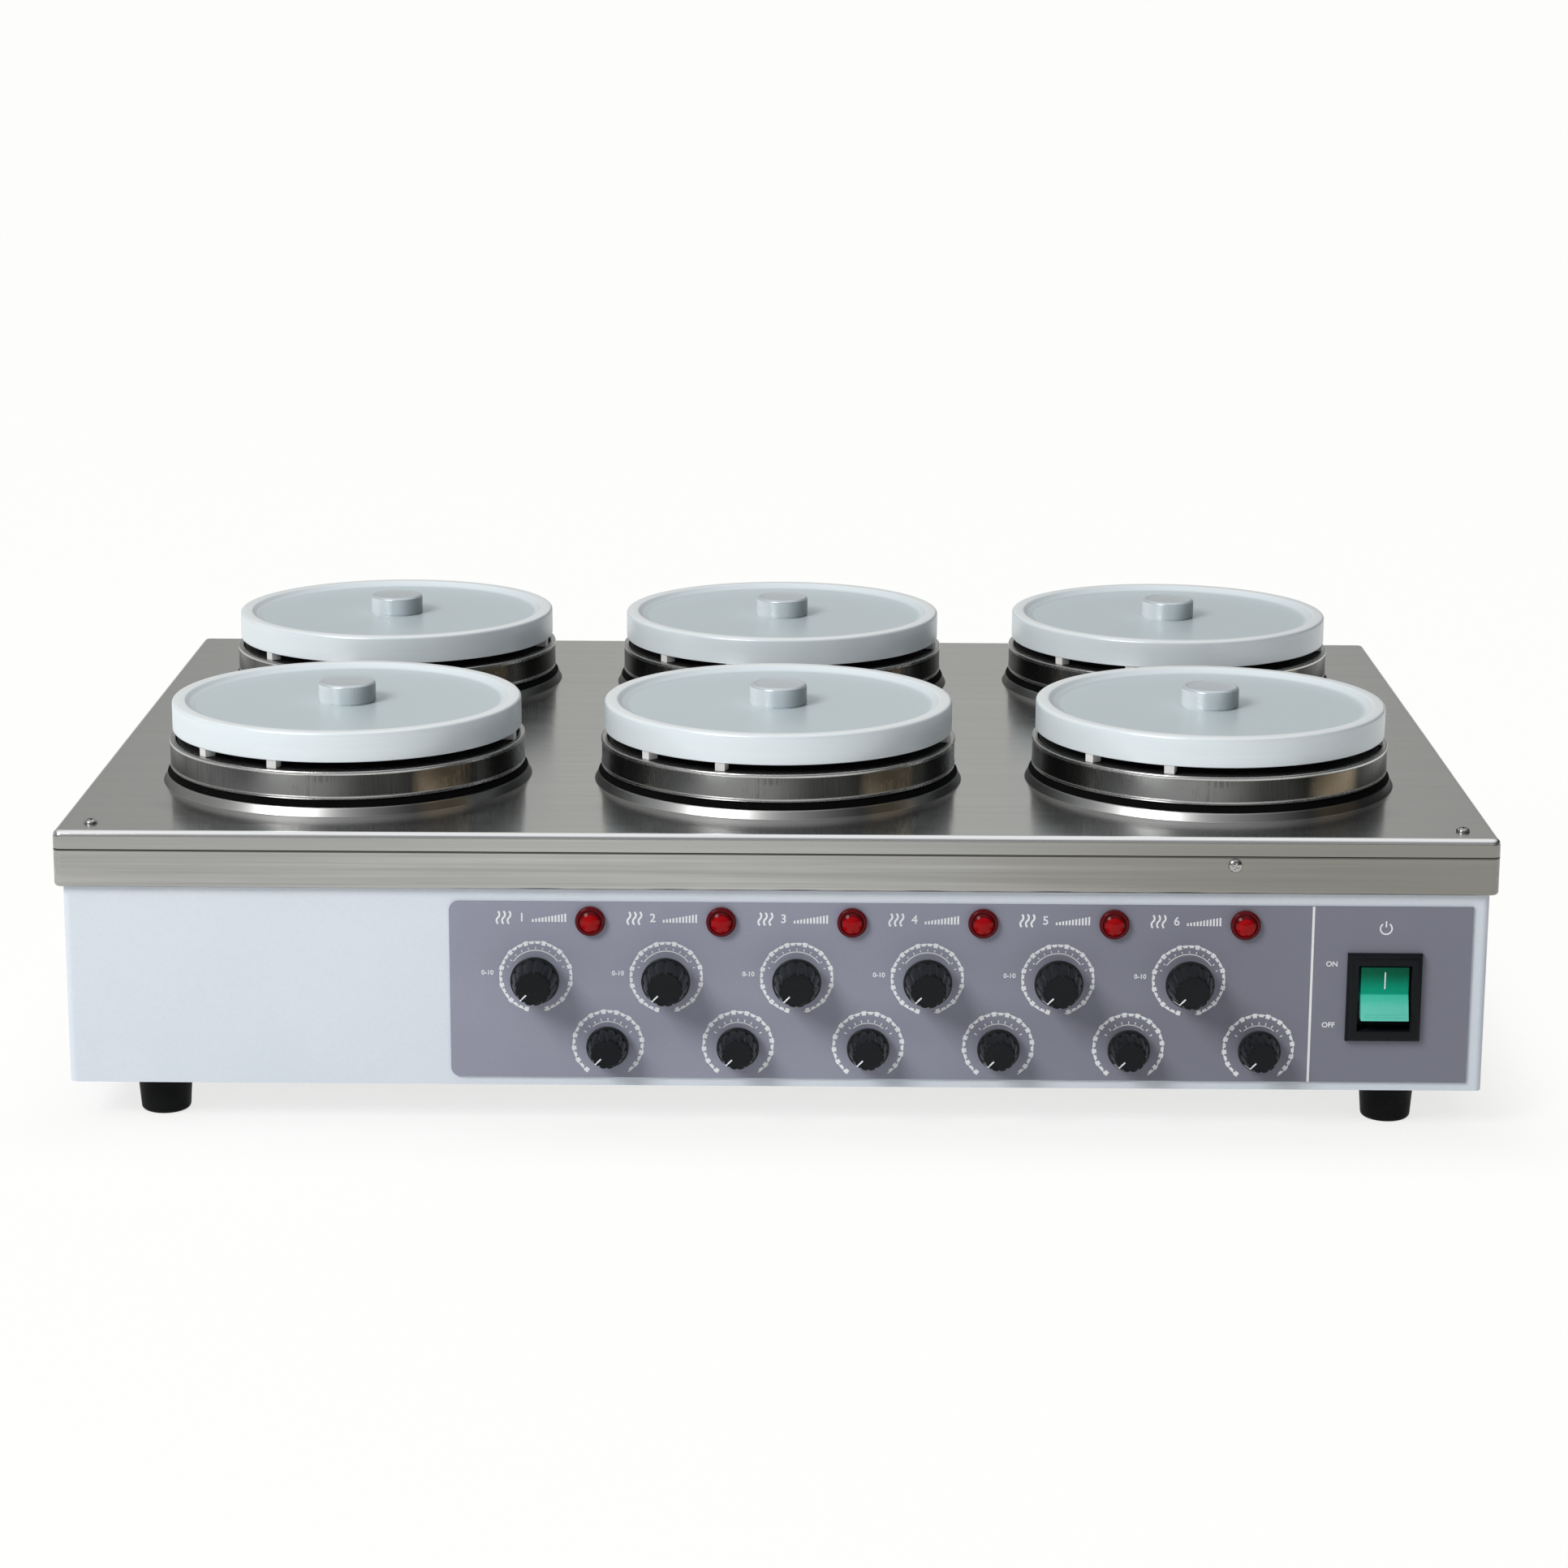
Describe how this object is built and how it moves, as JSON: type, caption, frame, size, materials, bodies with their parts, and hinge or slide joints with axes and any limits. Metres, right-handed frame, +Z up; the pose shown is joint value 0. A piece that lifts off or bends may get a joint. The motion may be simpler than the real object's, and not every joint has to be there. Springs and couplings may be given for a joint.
{
  "type": "multi-position hotplate stirrer",
  "caption": "Bench hotplate stirrer: a stainless deck with heated magnetic stirring stations under lift-off lids, on a painted housing with heat and speed knobs and a rocker switch.",
  "frame": {"origin": "middle of the bounding box, on the table under the feet", "axes": "+X to the right seen from the control panel, +Y to the rear, +Z up"},
  "size_m": [0.6, 0.4282, 0.169],
  "materials": {
    "body_paint": "satin powder coat",
    "deck_stainless": "brushed, half mirror",
    "skirt_stainless": "brushed",
    "ring_stainless": "polished, turned",
    "hotplate_black": "black ceramic coat",
    "heater_steel": "plain",
    "insulation_board": "mineral board",
    "lid_aluminium": "satin, turned",
    "lid_knob_aluminium": "satin, turned",
    "pad_white": "matt ceramic",
    "rotor_aluminium": "plain",
    "motor_steel": "plain",
    "bracket_steel": "zinc plated",
    "seal_rubber": "matt",
    "foot_rubber": "matt",
    "screw_steel": "bright",
    "panel_grey": "matt film",
    "knob_black": "half gloss",
    "lamp_red": "clear red",
    "regulator_plastic": "moulded",
    "pot_steel": "pressed",
    "switch_black": "half gloss",
    "rocker_green": "clear green",
    "inlet_black": "moulded",
    "pin_brass": "nickel plated",
    "board_green": "lacquered"
  },
  "bodies": {
    "base": {"housing_shell": "body_paint", "base_plate": "body_paint", "top_deck": "deck_stainless", "deck_skirt": "skirt_stainless", "control_panel": "panel_grey", "rubber_feet": "foot_rubber", "foot_screws": "screw_steel", "pan_screws": "screw_steel", "seal_rings": "seal_rubber", "trim_rings": "ring_stainless", "hotplates": "hotplate_black", "heating_elements": "heater_steel", "insulation_discs": "insulation_board", "stirrer_motors": "motor_steel", "motor_brackets": "bracket_steel", "pilot_lamps": "lamp_red", "heat_regulators": "regulator_plastic", "speed_potentiometers": "pot_steel", "switch_frame": "switch_black", "mains_inlet": "inlet_black", "inlet_pins": "pin_brass", "control_board": "board_green"},
    "lid_1": {"lid_1": "lid_aluminium", "lid_knob_1": "lid_knob_aluminium", "lid_pads_1": "pad_white"},
    "lid_2": {"lid_2": "lid_aluminium", "lid_knob_2": "lid_knob_aluminium", "lid_pads_2": "pad_white"},
    "lid_3": {"lid_3": "lid_aluminium", "lid_knob_3": "lid_knob_aluminium", "lid_pads_3": "pad_white"},
    "lid_4": {"lid_4": "lid_aluminium", "lid_knob_4": "lid_knob_aluminium", "lid_pads_4": "pad_white"},
    "lid_5": {"lid_5": "lid_aluminium", "lid_knob_5": "lid_knob_aluminium", "lid_pads_5": "pad_white"},
    "lid_6": {"lid_6": "lid_aluminium", "lid_knob_6": "lid_knob_aluminium", "lid_pads_6": "pad_white"},
    "stir_rotor_1": {"stir_rotor_1": "rotor_aluminium"},
    "stir_rotor_2": {"stir_rotor_2": "rotor_aluminium"},
    "stir_rotor_3": {"stir_rotor_3": "rotor_aluminium"},
    "stir_rotor_4": {"stir_rotor_4": "rotor_aluminium"},
    "stir_rotor_5": {"stir_rotor_5": "rotor_aluminium"},
    "stir_rotor_6": {"stir_rotor_6": "rotor_aluminium"},
    "heat_knob_1": {"heat_knob_1": "knob_black"},
    "heat_knob_2": {"heat_knob_2": "knob_black"},
    "heat_knob_3": {"heat_knob_3": "knob_black"},
    "heat_knob_4": {"heat_knob_4": "knob_black"},
    "heat_knob_5": {"heat_knob_5": "knob_black"},
    "heat_knob_6": {"heat_knob_6": "knob_black"},
    "speed_knob_1": {"speed_knob_1": "knob_black"},
    "speed_knob_2": {"speed_knob_2": "knob_black"},
    "speed_knob_3": {"speed_knob_3": "knob_black"},
    "speed_knob_4": {"speed_knob_4": "knob_black"},
    "speed_knob_5": {"speed_knob_5": "knob_black"},
    "speed_knob_6": {"speed_knob_6": "knob_black"},
    "rocker": {"rocker": "rocker_green"}
  },
  "joints": [
    {"name": "lid_1_lift", "type": "slide", "parent": "base", "child": "lid_1", "axis": [0, 0, 1], "range_m": [0, 0.12]},
    {"name": "lid_2_lift", "type": "slide", "parent": "base", "child": "lid_2", "axis": [0, 0, 1], "range_m": [0, 0.12]},
    {"name": "lid_3_lift", "type": "slide", "parent": "base", "child": "lid_3", "axis": [0, 0, 1], "range_m": [0, 0.12]},
    {"name": "lid_4_lift", "type": "slide", "parent": "base", "child": "lid_4", "axis": [0, 0, 1], "range_m": [0, 0.12]},
    {"name": "lid_5_lift", "type": "slide", "parent": "base", "child": "lid_5", "axis": [0, 0, 1], "range_m": [0, 0.12]},
    {"name": "lid_6_lift", "type": "slide", "parent": "base", "child": "lid_6", "axis": [0, 0, 1], "range_m": [0, 0.12]},
    {"name": "stir_1_spin", "type": "hinge", "parent": "base", "child": "stir_rotor_1", "pos_m": [-0.189, -0.09175, 0.0921], "axis": [0, 0, 1], "continuous": true},
    {"name": "stir_2_spin", "type": "hinge", "parent": "base", "child": "stir_rotor_2", "pos_m": [0, -0.09175, 0.0921], "axis": [0, 0, 1], "continuous": true},
    {"name": "stir_3_spin", "type": "hinge", "parent": "base", "child": "stir_rotor_3", "pos_m": [0.189, -0.09175, 0.0921], "axis": [0, 0, 1], "continuous": true},
    {"name": "stir_4_spin", "type": "hinge", "parent": "base", "child": "stir_rotor_4", "pos_m": [-0.189, 0.11425, 0.0921], "axis": [0, 0, 1], "continuous": true},
    {"name": "stir_5_spin", "type": "hinge", "parent": "base", "child": "stir_rotor_5", "pos_m": [0, 0.11425, 0.0921], "axis": [0, 0, 1], "continuous": true},
    {"name": "stir_6_spin", "type": "hinge", "parent": "base", "child": "stir_rotor_6", "pos_m": [0.189, 0.11425, 0.0921], "axis": [0, 0, 1], "continuous": true},
    {"name": "heat_1_turn", "type": "hinge", "parent": "base", "child": "heat_knob_1", "pos_m": [-0.1, -0.19565, 0.0652], "axis": [0, 1, 0], "range_deg": [0, 270]},
    {"name": "heat_2_turn", "type": "hinge", "parent": "base", "child": "heat_knob_2", "pos_m": [-0.0455, -0.19565, 0.0652], "axis": [0, 1, 0], "range_deg": [0, 270]},
    {"name": "heat_3_turn", "type": "hinge", "parent": "base", "child": "heat_knob_3", "pos_m": [0.009, -0.19565, 0.0652], "axis": [0, 1, 0], "range_deg": [0, 270]},
    {"name": "heat_4_turn", "type": "hinge", "parent": "base", "child": "heat_knob_4", "pos_m": [0.0635, -0.19565, 0.0652], "axis": [0, 1, 0], "range_deg": [0, 270]},
    {"name": "heat_5_turn", "type": "hinge", "parent": "base", "child": "heat_knob_5", "pos_m": [0.118, -0.19565, 0.0652], "axis": [0, 1, 0], "range_deg": [0, 270]},
    {"name": "heat_6_turn", "type": "hinge", "parent": "base", "child": "heat_knob_6", "pos_m": [0.1725, -0.19565, 0.0652], "axis": [0, 1, 0], "range_deg": [0, 270]},
    {"name": "speed_1_turn", "type": "hinge", "parent": "base", "child": "speed_knob_1", "pos_m": [-0.07, -0.19565, 0.0358], "axis": [0, 1, 0], "range_deg": [0, 270]},
    {"name": "speed_2_turn", "type": "hinge", "parent": "base", "child": "speed_knob_2", "pos_m": [-0.0155, -0.19565, 0.0358], "axis": [0, 1, 0], "range_deg": [0, 270]},
    {"name": "speed_3_turn", "type": "hinge", "parent": "base", "child": "speed_knob_3", "pos_m": [0.039, -0.19565, 0.0358], "axis": [0, 1, 0], "range_deg": [0, 270]},
    {"name": "speed_4_turn", "type": "hinge", "parent": "base", "child": "speed_knob_4", "pos_m": [0.0935, -0.19565, 0.0358], "axis": [0, 1, 0], "range_deg": [0, 270]},
    {"name": "speed_5_turn", "type": "hinge", "parent": "base", "child": "speed_knob_5", "pos_m": [0.148, -0.19565, 0.0358], "axis": [0, 1, 0], "range_deg": [0, 270]},
    {"name": "speed_6_turn", "type": "hinge", "parent": "base", "child": "speed_knob_6", "pos_m": [0.2025, -0.19565, 0.0358], "axis": [0, 1, 0], "range_deg": [0, 270]},
    {"name": "rocker_tilt", "type": "hinge", "parent": "base", "child": "rocker", "pos_m": [0.254, -0.19445, 0.0601], "axis": [1, 0, 0], "range_deg": [0, 20]}
  ]
}
